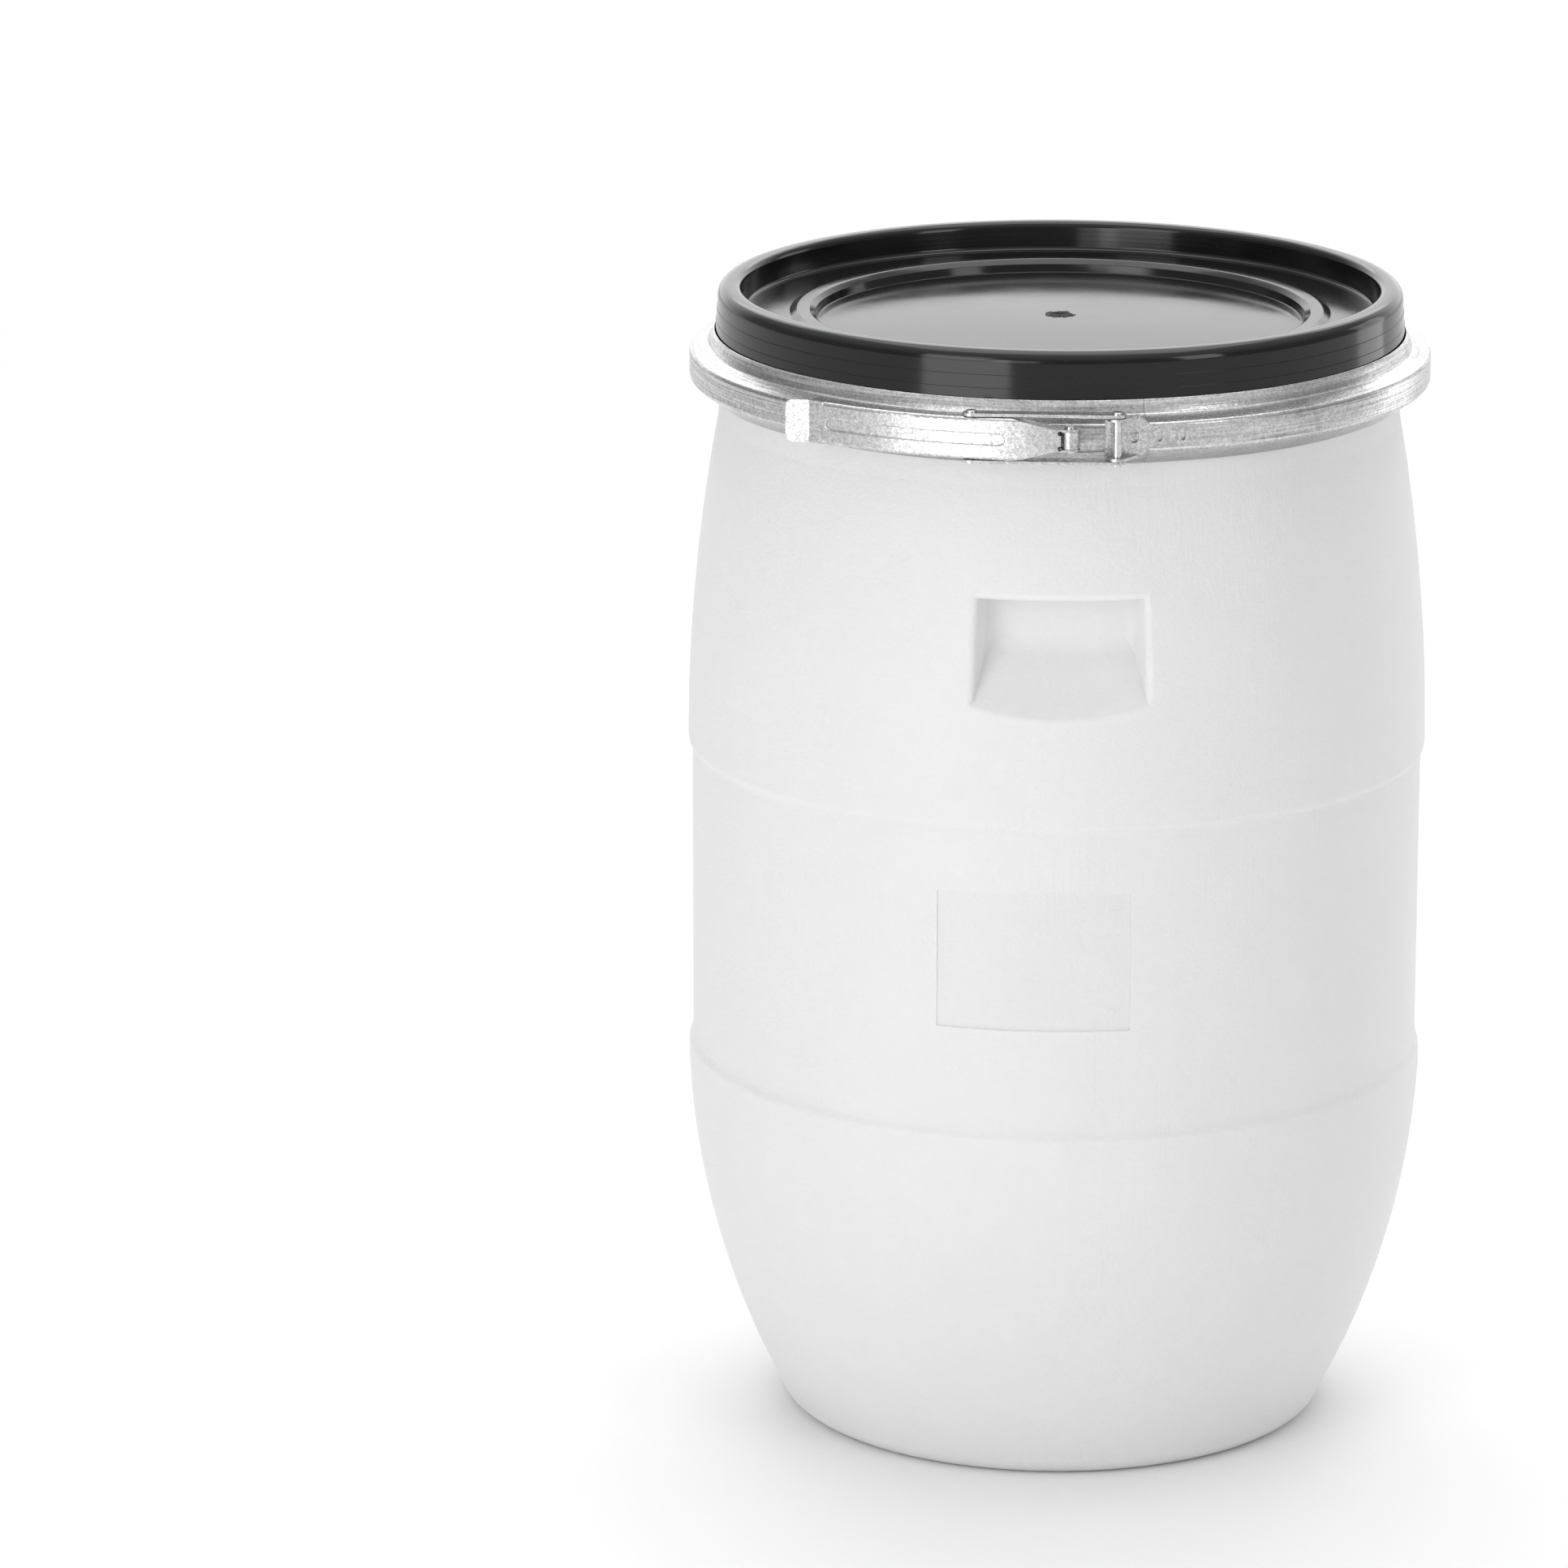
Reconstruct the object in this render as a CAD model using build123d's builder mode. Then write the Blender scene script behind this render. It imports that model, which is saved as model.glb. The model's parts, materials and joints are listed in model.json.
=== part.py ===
from build123d import *
from math import asin, cos, degrees, radians, sin, sqrt
import os

# A 60 litre open head drum: a blow-moulded barrel, a lid with a gasket, and a
# lever-lock closing ring. Millimetres, +Z up, origin at the centre of the base,
# and the closing ring's lever at the front, towards -Y. Angles round the drum
# are counted from the front, positive towards +X.

# Barrel
WALL = 3.0
HOOP_R = 200.0
BAND_R = 197.8
FOOT_R = 138.0
DISH_R = 110.0
DISH_DEPTH = 9.0
LOWER_HOOP_Z = 195.0
LOWER_STEP_Z = 203.0
UPPER_STEP_Z = 370.0
UPPER_HOOP_Z = 381.0
STEP_HEIGHT = 7.0
SHOULDER_R = 183.3
SHOULDER_Z = 553.7
NECK_R = 180.0
RIM_Z = 614.0
FLANGE_R = 195.0
FLANGE_TOP_Z = 581.0

# Grip pockets, one at the front and one at the back
POCKET_X = 2.0
POCKET_WIDTH = 93.0
POCKET_TAPER = 9.0
POCKET_TOP_Z = 495.0
POCKET_RAMP_Z = 466.0
POCKET_SLOPE = 1.1
POCKET_BACK_Y = 168.0
POCKET_MOUTH_Y = -195.0
POCKET_FLARE = 14.0
POCKET_EDGE_R = 3.5
MOUTH_HEIGHT = 70.0
MOUTH_R = 189.0
CLEAR_Y = -260.0

# Label panel, a shallow recess in the middle band
PANEL_ANGLE = -3.2
PANEL_WIDTH = 103.0
PANEL_LOW_Z = 265.0
PANEL_HIGH_Z = 339.0
PANEL_DEPTH = 0.9
MARK_R, MARK_T, MARK_INSET = 2.0, 0.5, 10.0

# Lid
LID_TOP_Z = 625.0
LID_WALL_R = 184.7
LID_STEP = 0.5
LID_STEP_Z = (605.6, 612.5)
LID_FLOOR_Z = 609.3
LID_THICKNESS = 2.7
LID_WELL_R = 170.0
BEAD_INNER_R = 134.5
BEAD_OUTER_R = 141.0
BEAD_Z = 611.4
DISC_R = 128.5
DISC_EDGE_Z = 604.6
DISC_CENTRE_Z = 607.6
CHANNEL_ROOF_Z = 622.0
CHANNEL_INNER_R = 173.6
CHANNEL_OUTER_R = 181.9

# Closing ring
BAND_T = 1.1
RING_R = 199.0
LOCK_Z = 584.3
LEFT_END = 13.42
RIGHT_END = 13.85
BACK_GAP = 0.045

# Lever lock: three upright pins, and sheet parts set out above and below the
# middle height of the lock, LOCK_Z, from which half heights are measured.
PIVOT_X, PIVOT_R = 6.0, 204.9
RIVET_X, LINK_PIN_X, PIN_CIRCLE_R = -45.0, 30.0, 205.5
LEVER_R = 210.0
LEVER_INNER_R = 199.8
LEVER_T = 1.3
LEVER_HALF = 11.15
EAR_HALF = 5.9
TAPER_START_X, TAPER_END_X = -24.0, -3.0
LEVER_END_X = -129.6
TAB_LENGTH = 13.0
TAB_DROP = 1.3
TAB_X = -141.6
WINDOW_X = 1.2
GROOVE_X, GROOVE_LENGTH, GROOVE_HALF = -74.0, 94.0, 3.7
GROOVE_DEPTH, GROOVE_EDGE_R = 0.9, 0.8
BAR_WIDTH = 9.0
BAR_T = 1.7
BAR_GAP = 0.25
STRAP_T = 1.4
STRAP_HALF = 4.4
STRAP_LEFT_X = -28.0
STRAP_RIVET_ANGLES = (-6.6, -3.9)
KNUCKLE_R = 4.9
PIVOT_PIN_R = 2.5
RUNNING = 0.05
RIVET_R = 2.0
STRAP_HEAD_R = 3.3
LINK_PIN_R = 2.25
HEAD_R, HEAD_T = 2.95, 1.15
PLATE_T = 1.5
PLATE_LEFT_X, EAR_RIGHT_X, NECK_X, PLATE_RIGHT_X = 23.6, 41.0, 48.5, 68.5
NECK_HALF = 4.9
EAR_NOSE_R = 5.0
SLOT_X = 38.6
CLINCH_X = (51.0, 63.0)

os.makedirs("parts", exist_ok=True)


def on_front(radius, x):
    """Point in plan at the given x on the front of a circle round the drum's axis."""
    return (x, -sqrt(radius**2 - x**2))


def angle_at(radius, x):
    """Angle round the drum of the point at x on a circle of that radius."""
    return degrees(asin(x / radius))


def radial_plane(angle):
    """Upright half plane through the drum's axis: local x is the radius, local y is z."""
    turn = radians(angle)
    return Plane(
        origin=(0, 0, 0), x_dir=(sin(turn), -cos(turn), 0), z_dir=(-cos(turn), -sin(turn), 0)
    )


def facing_plane(angle, radius, height):
    """Plane that touches the circle at that angle and height, facing outwards."""
    turn = radians(angle)
    return Plane(
        origin=(radius * sin(turn), -radius * cos(turn), height),
        x_dir=(cos(turn), sin(turn), 0),
        z_dir=(sin(turn), -cos(turn), 0),
    )


def outline(corners):
    """Closed outline through (x, y, corner radius) triples."""
    points = [(x, y) for x, y, _ in corners]
    FilletPolyline(*points, radius=[r for _, _, r in corners], close=True)


def turned(corners, start=0.0, arc=360.0):
    """Solid swept round the drum's axis from a closed outline of radius and height."""
    with BuildPart() as ring:
        with BuildSketch(radial_plane(start)):
            with BuildLine():
                outline(corners)
            make_face()
        revolve(axis=Axis.Z, revolution_arc=arc)
    return ring.part


def front_plate(corners):
    """Plate with a front outline of x and height, running back to the drum's axis."""
    with BuildPart() as plate:
        with BuildSketch(Plane.XZ.offset(120)):
            with BuildLine():
                outline(corners)
            make_face()
        extrude(amount=120)
    return plate.part


def shell_block(inner_r, outer_r, low_z, high_z, start, end):
    """Piece of a cylindrical shell between two radii, two heights and two angles."""
    corners = [(inner_r, low_z, 0), (outer_r, low_z, 0), (outer_r, high_z, 0), (inner_r, high_z, 0)]
    return turned(corners, start, end - start)


# --- Barrel -------------------------------------------------------------------


def step_curve(low, high):
    """S-shaped step in the barrel's outline between two upright stretches."""
    rise = 0.6 * (high[1] - low[1])
    Bezier(low, (low[0], low[1] + rise), (high[0], high[1] - rise), high)


def barrel_solid(inset):
    """The barrel's skin moved in by inset and closed flat at the rim."""
    foot = DISH_R + 14
    band = BAND_R - inset
    hoop = HOOP_R - inset
    base = DISH_DEPTH + inset
    with BuildPart() as barrel:
        with BuildSketch(Plane.XZ):
            with BuildLine():
                Polyline((0, base), (DISH_R - inset, base - 1), (foot, inset), (FOOT_R, inset))
                ThreePointArc((FOOT_R, inset), (146 - inset / 2, 3.9 + inset), (150.5 - inset, 11.5 + inset))
                ThreePointArc((150.5 - inset, 11.5 + inset), (180.1 - inset, 82.8), (hoop, LOWER_HOOP_Z))
                Line((hoop, LOWER_HOOP_Z), (hoop, LOWER_STEP_Z))
                step_curve((hoop, LOWER_STEP_Z), (band, LOWER_STEP_Z + STEP_HEIGHT))
                Line((band, LOWER_STEP_Z + STEP_HEIGHT), (band, UPPER_STEP_Z))
                step_curve((band, UPPER_STEP_Z), (hoop, UPPER_STEP_Z + STEP_HEIGHT))
                Line((hoop, UPPER_STEP_Z + STEP_HEIGHT), (hoop, UPPER_HOOP_Z))
                ThreePointArc((hoop, UPPER_HOOP_Z), (196.2 - inset, 460), (SHOULDER_R - inset, SHOULDER_Z))
                Polyline(
                    (SHOULDER_R - inset, SHOULDER_Z),
                    (182.3 - inset, 566),
                    (NECK_R - inset, 576),
                    (NECK_R - inset, RIM_Z),
                    (0, RIM_Z),
                    (0, base),
                )
            make_face()
        revolve()
    return barrel.part


def grip_pocket(grow):
    """Hollow of the front grip: a flat ledge on top, an upright back and a ramp below."""
    top = POCKET_TOP_Z + grow
    back = -POCKET_BACK_Y + grow
    ramp = POCKET_RAMP_Z - grow
    half = POCKET_WIDTH / 2 + grow
    with BuildPart() as pocket:
        with BuildSketch(Plane.YZ.offset(POCKET_X)):
            with BuildLine():
                outline(
                    [
                        (CLEAR_Y, top, 0),
                        (back, top, 5 + grow),
                        (back, ramp, 16),
                        (CLEAR_Y, ramp - POCKET_SLOPE * (back - CLEAR_Y), 0),
                    ]
                )
            make_face()
        extrude(amount=POCKET_WIDTH, both=True)
        with BuildSketch(Plane.XY.offset(top - 2 * MOUTH_HEIGHT)):
            with BuildLine():
                outline(
                    [
                        (POCKET_X - half, POCKET_MOUTH_Y, 0),
                        (POCKET_X - half - POCKET_FLARE, CLEAR_Y, 0),
                        (POCKET_X + half + POCKET_FLARE, CLEAR_Y, 0),
                        (POCKET_X + half, POCKET_MOUTH_Y, 0),
                        (POCKET_X + half - POCKET_TAPER, back, 6 + grow),
                        (POCKET_X - half + POCKET_TAPER, back, 6 + grow),
                    ]
                )
            make_face()
        extrude(amount=2 * MOUTH_HEIGHT + 5, mode=Mode.INTERSECT)
    return pocket.part


def clamp_flange():
    """Flange round the neck, with the sloping underside that the closing ring grips."""
    return turned(
        [
            (NECK_R - WALL / 2, 564.5, 0),
            (184.4, 567.7, 0),
            (FLANGE_R, 575.3, 1.2),
            (FLANGE_R, FLANGE_TOP_Z, 1.2),
            (NECK_R - WALL / 2, FLANGE_TOP_Z, 0),
        ]
    )


with BuildPart() as drum_cavity:
    add(barrel_solid(WALL))
    add(grip_pocket(WALL), mode=Mode.SUBTRACT)
    add(grip_pocket(WALL).mirror(Plane.XZ), mode=Mode.SUBTRACT)


def on_pocket_mouth(edge):
    """True for the edges where a grip pocket opens through the barrel's skin."""
    middle = edge.center()
    in_height = POCKET_TOP_Z - MOUTH_HEIGHT < middle.Z < POCKET_TOP_Z + 5
    return in_height and sqrt(middle.X**2 + middle.Y**2) > MOUTH_R


with BuildPart() as drum_body:
    add(barrel_solid(0))
    add(grip_pocket(0), mode=Mode.SUBTRACT)
    add(grip_pocket(0).mirror(Plane.XZ), mode=Mode.SUBTRACT)
    fillet(drum_body.edges().filter_by(on_pocket_mouth), POCKET_EDGE_R)
    add(clamp_flange())
    panel_half = degrees(PANEL_WIDTH / 2 / BAND_R)
    panel_floor = BAND_R - PANEL_DEPTH
    add(
        shell_block(
            panel_floor,
            HOOP_R + 5,
            PANEL_LOW_Z,
            PANEL_HIGH_Z,
            PANEL_ANGLE - panel_half,
            PANEL_ANGLE + panel_half,
        ),
        mode=Mode.SUBTRACT,
    )
    for mark_z in (PANEL_LOW_Z + MARK_INSET, PANEL_HIGH_Z - MARK_INSET):
        mark_angle = PANEL_ANGLE + degrees((PANEL_WIDTH / 2 - MARK_INSET) / BAND_R)
        with BuildSketch(facing_plane(mark_angle, panel_floor - 0.5, mark_z)):
            Circle(MARK_R)
        extrude(amount=0.5 + MARK_T)
    add(drum_cavity.part, mode=Mode.SUBTRACT)
drum_body.part.label = "drum_body"
export_step(drum_body.part, "parts/drum_body.step")

# --- Lid and gasket -----------------------------------------------------------

dome_r = (DISC_R**2 + (DISC_CENTRE_Z - DISC_EDGE_Z) ** 2) / (2 * (DISC_CENTRE_Z - DISC_EDGE_Z))
half_way = (DISC_R / 2, DISC_CENTRE_Z - dome_r + sqrt(dome_r**2 - DISC_R**2 / 4))

with BuildPart() as lid:
    with BuildSketch(Plane.XZ):
        with BuildLine():
            ThreePointArc((0, DISC_CENTRE_Z), half_way, (DISC_R, DISC_EDGE_Z))
            FilletPolyline(
                (DISC_R, DISC_EDGE_Z),
                (130.3, DISC_EDGE_Z),
                (131.3, 608.9),
                (BEAD_INNER_R, BEAD_Z),
                (BEAD_OUTER_R, BEAD_Z),
                (145.0, LID_FLOOR_Z),
                (LID_WELL_R, LID_FLOOR_Z),
                (171.0, LID_TOP_Z),
                (LID_WALL_R - 2 * LID_STEP, LID_TOP_Z),
                (LID_WALL_R - 2 * LID_STEP, LID_STEP_Z[1]),
                (LID_WALL_R - LID_STEP, LID_STEP_Z[1]),
                (LID_WALL_R - LID_STEP, LID_STEP_Z[0]),
                (LID_WALL_R, LID_STEP_Z[0]),
                (LID_WALL_R, 592.7),
                (FLANGE_R, 589.6),
                (FLANGE_R, 581.5),
                (CHANNEL_OUTER_R, 581.5),
                (CHANNEL_OUTER_R, CHANNEL_ROOF_Z),
                (CHANNEL_INNER_R, CHANNEL_ROOF_Z),
                (CHANNEL_INNER_R - 0.8, LID_FLOOR_Z - LID_THICKNESS),
                (143.5, LID_FLOOR_Z - LID_THICKNESS),
                (140.0, BEAD_Z - LID_THICKNESS),
                (135.5, BEAD_Z - LID_THICKNESS),
                (133.0, DISC_EDGE_Z - LID_THICKNESS),
                (DISC_R, DISC_EDGE_Z - LID_THICKNESS),
                radius=[0.6, 0.6, 2, 2, 1.5, 2.5, 4, 6.3, 0, 0, 0, 0, 1.5, 1.2, 1, 1, 2, 2, 3, 2, 1.5, 1, 1],
            )
            ThreePointArc(
                (DISC_R, DISC_EDGE_Z - LID_THICKNESS),
                (half_way[0], half_way[1] - LID_THICKNESS),
                (0, DISC_CENTRE_Z - LID_THICKNESS),
            )
            Line((0, DISC_CENTRE_Z - LID_THICKNESS), (0, DISC_CENTRE_Z))
        make_face()
    revolve()
lid.part.label = "lid"
export_step(lid.part, "parts/lid.step")

with BuildPart() as lid_gasket:
    add(
        turned(
            [
                (CHANNEL_INNER_R + 0.5, CHANNEL_ROOF_Z - 5.5, 0),
                (CHANNEL_INNER_R + 1.6, RIM_Z + 0.2, 1),
                (CHANNEL_OUTER_R - 0.9, RIM_Z + 0.2, 1),
                (CHANNEL_OUTER_R - 0.3, CHANNEL_ROOF_Z - 5.5, 0),
                (CHANNEL_OUTER_R - 0.3, CHANNEL_ROOF_Z, 2.2),
                (CHANNEL_INNER_R + 0.5, CHANNEL_ROOF_Z, 2.2),
            ]
        )
    )
lid_gasket.part.label = "lid_gasket"
export_step(lid_gasket.part, "parts/lid_gasket.step")

# --- Closing ring -------------------------------------------------------------


def band(start, end):
    """Stretch of the roll-formed band: lip, web, shelf and the collar round the lid."""
    with BuildPart() as stretch:
        with BuildSketch(radial_plane(start)):
            with BuildLine() as centre_line:
                FilletPolyline(
                    (186.0, 567.4),
                    (RING_R - BAND_T / 2, 576.3),
                    (RING_R - BAND_T / 2, 589.7),
                    (188.3, 592.9),
                    (185.8, 600.0),
                    radius=[2.0, 1.8, 2.0],
                )
                offset(centre_line.line, amount=BAND_T / 2)
            make_face()
        revolve(axis=Axis.Z, revolution_arc=end - start)
    return stretch.part


def radial_bar(angle, radius, inner_r, outer_r, taper=0.0):
    """Round bar that points out from the drum's axis at the lock's middle height."""
    with BuildPart() as bar:
        with BuildSketch(facing_plane(angle, inner_r, LOCK_Z)):
            Circle(radius)
        extrude(amount=outer_r - inner_r, taper=taper)
    return bar.part


def strap_rivet(angle):
    """Rivet through the band and the strap, flat inside and tapered outside."""
    with BuildPart() as rivet:
        add(radial_bar(angle, RIVET_R, RING_R - BAND_T - 0.5, RING_R + STRAP_T))
        add(radial_bar(angle, STRAP_HEAD_R, RING_R - BAND_T - 0.9, RING_R - BAND_T - 0.04))
        add(radial_bar(angle, STRAP_HEAD_R, RING_R + STRAP_T, RING_R + STRAP_T + 1.3, 22))
    return rivet.part


def strap_hole(angle):
    """Clearance hole for a strap rivet."""
    return radial_bar(angle, RIVET_R + RUNNING, RING_R - BAND_T - 1, RING_R + STRAP_T + 1)


with BuildPart() as clamp_ring_left:
    add(band(-180 + BACK_GAP, LEFT_END))
    for rivet_angle in STRAP_RIVET_ANGLES:
        add(strap_hole(rivet_angle), mode=Mode.SUBTRACT)
clamp_ring_left.part.label = "clamp_ring_left"
export_step(clamp_ring_left.part, "parts/clamp_ring_left.step")

with BuildPart() as clamp_ring_right:
    add(band(RIGHT_END, 180 - BACK_GAP))
clamp_ring_right.part.label = "clamp_ring_right"
export_step(clamp_ring_right.part, "parts/clamp_ring_right.step")

# --- Lever lock ---------------------------------------------------------------

PIVOT = on_front(PIVOT_R, PIVOT_X)
RIVET = on_front(PIN_CIRCLE_R, RIVET_X)
LINK_PIN = on_front(PIN_CIRCLE_R, LINK_PIN_X)
BAR_LOW = LEVER_HALF + BAR_GAP


def upright(place, radius, low, high):
    """Upright round bar at a plan point, between two heights from the lock's middle."""
    with BuildPart() as bar:
        with BuildSketch(Plane.XY.offset(LOCK_Z + low)):
            with Locations(place):
                Circle(radius)
        extrude(amount=high - low)
    return bar.part


def rivet_head(place, radius, low, high):
    """Domed head that stands on the height low and thins towards high."""
    with BuildPart() as head:
        add(upright(place, radius, min(low, high), max(low, high)))
        crown = head.edges().filter_by(GeomType.CIRCLE).sort_by(Axis.Z)[-1 if high > low else 0]
        fillet(crown, 0.55 * abs(high - low))
    return head.part


with BuildPart() as lever_bracket:
    add(
        shell_block(
            RING_R,
            RING_R + STRAP_T,
            LOCK_Z - STRAP_HALF,
            LOCK_Z + STRAP_HALF,
            angle_at(RING_R, STRAP_LEFT_X - 1),
            angle_at(RING_R, PIVOT_X + 1.5),
        )
    )
    strap_outline = [
        (STRAP_LEFT_X, LOCK_Z - STRAP_HALF, 3),
        (PIVOT_X + 1, LOCK_Z - STRAP_HALF, 0),
        (PIVOT_X + 1, LOCK_Z + STRAP_HALF, 0),
        (STRAP_LEFT_X, LOCK_Z + STRAP_HALF, 3),
    ]
    add(front_plate(strap_outline), mode=Mode.INTERSECT)
    for rivet_angle in STRAP_RIVET_ANGLES:
        add(strap_hole(rivet_angle), mode=Mode.SUBTRACT)
    add(upright(PIVOT, KNUCKLE_R, -STRAP_HALF, STRAP_HALF))
    add(upright(PIVOT, PIVOT_PIN_R + RUNNING, -STRAP_HALF - 1, STRAP_HALF + 1), mode=Mode.SUBTRACT)
lever_bracket.part.label = "lever_bracket"
export_step(lever_bracket.part, "parts/lever_bracket.step")

with BuildPart() as lever_bracket_rivets:
    for rivet_angle in STRAP_RIVET_ANGLES:
        add(strap_rivet(rivet_angle))
lever_bracket_rivets.part.label = "lever_bracket_rivets"
export_step(lever_bracket_rivets.part, "parts/lever_bracket_rivets.step")


def lever_outline(inset):
    """Front outline of the lever, narrowing to the two ears at its pivot."""
    tall = LEVER_HALF - inset
    low = EAR_HALF - inset
    right = PIVOT_X + 8
    return [
        (TAB_X, LOCK_Z - tall, 3.5),
        (TAPER_START_X, LOCK_Z - tall, 14),
        (TAPER_END_X, LOCK_Z - low, 8),
        (right, LOCK_Z - low, 0),
        (right, LOCK_Z + low, 0),
        (TAPER_END_X, LOCK_Z + low, 8),
        (TAPER_START_X, LOCK_Z + tall, 14),
        (TAB_X, LOCK_Z + tall, 3.5),
    ]


def groove(inner_r, outer_r, half):
    """Long round-ended block along the lever's face, for pressing its groove."""
    with BuildPart() as pressing:
        add(
            shell_block(
                inner_r,
                outer_r,
                LOCK_Z - half,
                LOCK_Z + half,
                angle_at(LEVER_R, GROOVE_X - GROOVE_LENGTH / 2 - 4),
                angle_at(LEVER_R, GROOVE_X + GROOVE_LENGTH / 2 + 4),
            )
        )
        with BuildSketch(Plane.XZ.offset(120)):
            with Locations((GROOVE_X, LOCK_Z)):
                SlotOverall(GROOVE_LENGTH - 2 * (GROOVE_HALF - half), 2 * half)
        extrude(amount=120, mode=Mode.INTERSECT)
    return pressing.part


def on_groove_edge(edge):
    """True for the edges where the groove opens through the lever's face."""
    points = [edge @ share for share in (0, 0.5, 1)]
    in_height = all(abs(point.Z - LOCK_Z) < GROOVE_HALF for point in points)
    on_face = all(abs(sqrt(point.X**2 + point.Y**2) - LEVER_R) < 0.02 for point in points)
    return in_height and on_face and abs(points[1].X - GROOVE_X) < GROOVE_LENGTH / 2 + 1


def finger_tab(low, high):
    """Finger tab: a flat strip bent out of the lever's web, between two heights."""
    turn = radians(LEVER_END)
    middle = LEVER_R - LEVER_T / 2
    bend = (middle * sin(turn), -middle * cos(turn))
    inside = radians(LEVER_END + 2.5)
    with BuildPart() as strip:
        with BuildSketch(Plane.XY.offset(LOCK_Z + low)):
            with BuildLine() as path:
                FilletPolyline(
                    (middle * sin(inside), -middle * cos(inside)),
                    bend,
                    (bend[0] - TAB_LENGTH, bend[1] + TAB_DROP),
                    radius=4,
                )
                offset(path.line, amount=LEVER_T / 2)
            make_face()
        extrude(amount=high - low)
    return strip.part


LEVER_END = angle_at(LEVER_R, LEVER_END_X)
PIVOT_ANGLE = angle_at(PIVOT_R, PIVOT_X)

with BuildPart() as lever_hollow:
    add(
        shell_block(
            LEVER_INNER_R - 2,
            LEVER_R - LEVER_T,
            LOCK_Z - LEVER_HALF,
            LOCK_Z + LEVER_HALF,
            LEVER_END - 1,
            angle_at(LEVER_R, PIVOT_X + 9),
        )
    )
    add(front_plate(lever_outline(LEVER_T)), mode=Mode.INTERSECT)
    add(groove(LEVER_R - 2.2, LEVER_R, GROOVE_HALF), mode=Mode.SUBTRACT)

with BuildPart() as lever:
    add(
        shell_block(
            LEVER_INNER_R,
            LEVER_R,
            LOCK_Z - LEVER_HALF,
            LOCK_Z + LEVER_HALF,
            LEVER_END,
            PIVOT_ANGLE,
        )
    )
    folds = lever.edges().filter_by(GeomType.CIRCLE).sort_by(SortBy.RADIUS)[-2:]
    fillet(folds, 2.0)
    add(upright(PIVOT, LEVER_R - PIVOT_R, -LEVER_HALF, LEVER_HALF))
    add(finger_tab(-LEVER_HALF, LEVER_HALF))
    add(front_plate(lever_outline(0)), mode=Mode.INTERSECT)
    add(lever_hollow.part, mode=Mode.SUBTRACT)
    add(groove(LEVER_R - GROOVE_DEPTH, LEVER_R + 1, GROOVE_HALF - 0.9), mode=Mode.SUBTRACT)
    fillet(lever.edges().filter_by(on_groove_edge), GROOVE_EDGE_R)
    with BuildSketch(Plane.XZ.offset(PIVOT_R)):
        with Locations((WINDOW_X + 10, LOCK_Z)):
            Rectangle(20, 2 * (EAR_HALF - LEVER_T))
        with Locations((WINDOW_X - 0.6, LOCK_Z + 4.0), (WINDOW_X - 0.6, LOCK_Z - 4.0)):
            Circle(1.2)
    extrude(amount=10, mode=Mode.SUBTRACT)
    add(upright(PIVOT, PIVOT_PIN_R, -EAR_HALF, EAR_HALF), mode=Mode.SUBTRACT)
    add(upright(RIVET, RIVET_R + RUNNING, -LEVER_HALF, LEVER_HALF), mode=Mode.SUBTRACT)
lever.part.label = "lever"
export_step(lever.part, "parts/lever.step")

with BuildPart() as lever_pin:
    add(upright(PIVOT, PIVOT_PIN_R, -EAR_HALF, EAR_HALF))
    for side in (-1, 1):
        add(rivet_head(PIVOT, HEAD_R, side * EAR_HALF, side * (EAR_HALF + HEAD_T)))
lever_pin.part.label = "lever_pin"
export_step(lever_pin.part, "parts/lever_pin.step")

BAR_TOP = BAR_LOW + BAR_T
LINK_LENGTH = (Vector(*LINK_PIN) - Vector(*RIVET)).length
LINK_MIDDLE = ((RIVET[0] + LINK_PIN[0]) / 2, (RIVET[1] + LINK_PIN[1]) / 2)
LINK_TURN = degrees(asin((LINK_PIN[1] - RIVET[1]) / LINK_LENGTH))


def link_bar(low):
    """Flat round-ended bar from the lever's rivet to the link pin."""
    with BuildPart() as bar:
        with BuildSketch(Plane.XY.offset(LOCK_Z + low)):
            with Locations(LINK_MIDDLE):
                SlotCenterToCenter(LINK_LENGTH, BAR_WIDTH, rotation=LINK_TURN)
            with Locations(RIVET):
                Circle(RIVET_R, mode=Mode.SUBTRACT)
            with Locations(LINK_PIN):
                Circle(LINK_PIN_R, mode=Mode.SUBTRACT)
        extrude(amount=BAR_T)
        rims = bar.faces().sort_by(Axis.Z)[-1].outer_wire().edges()
        fillet(rims + bar.faces().sort_by(Axis.Z)[0].outer_wire().edges(), 0.35)
    return bar.part


with BuildPart() as link_upper:
    add(link_bar(BAR_LOW))
link_upper.part.label = "link_upper"
export_step(link_upper.part, "parts/link_upper.step")

with BuildPart() as link_lower:
    add(link_bar(-BAR_TOP))
link_lower.part.label = "link_lower"
export_step(link_lower.part, "parts/link_lower.step")

FLANGE_UNDER = LEVER_HALF - LEVER_T - 0.1

with BuildPart() as lever_link_rivets:
    for side in (-1, 1):
        ends = sorted((side * FLANGE_UNDER, side * BAR_TOP))
        add(upright(RIVET, RIVET_R, *ends))
        add(rivet_head(RIVET, HEAD_R - 0.15, side * BAR_TOP, side * (BAR_TOP + HEAD_T)))
        add(rivet_head(RIVET, HEAD_R, side * FLANGE_UNDER, side * (FLANGE_UNDER - HEAD_T)))
lever_link_rivets.part.label = "lever_link_rivets"
export_step(lever_link_rivets.part, "parts/lever_link_rivets.step")

with BuildPart() as link_pin:
    add(upright(LINK_PIN, LINK_PIN_R, -LEVER_HALF, LEVER_HALF))
link_pin.part.label = "link_pin"
export_step(link_pin.part, "parts/link_pin.step")

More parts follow.
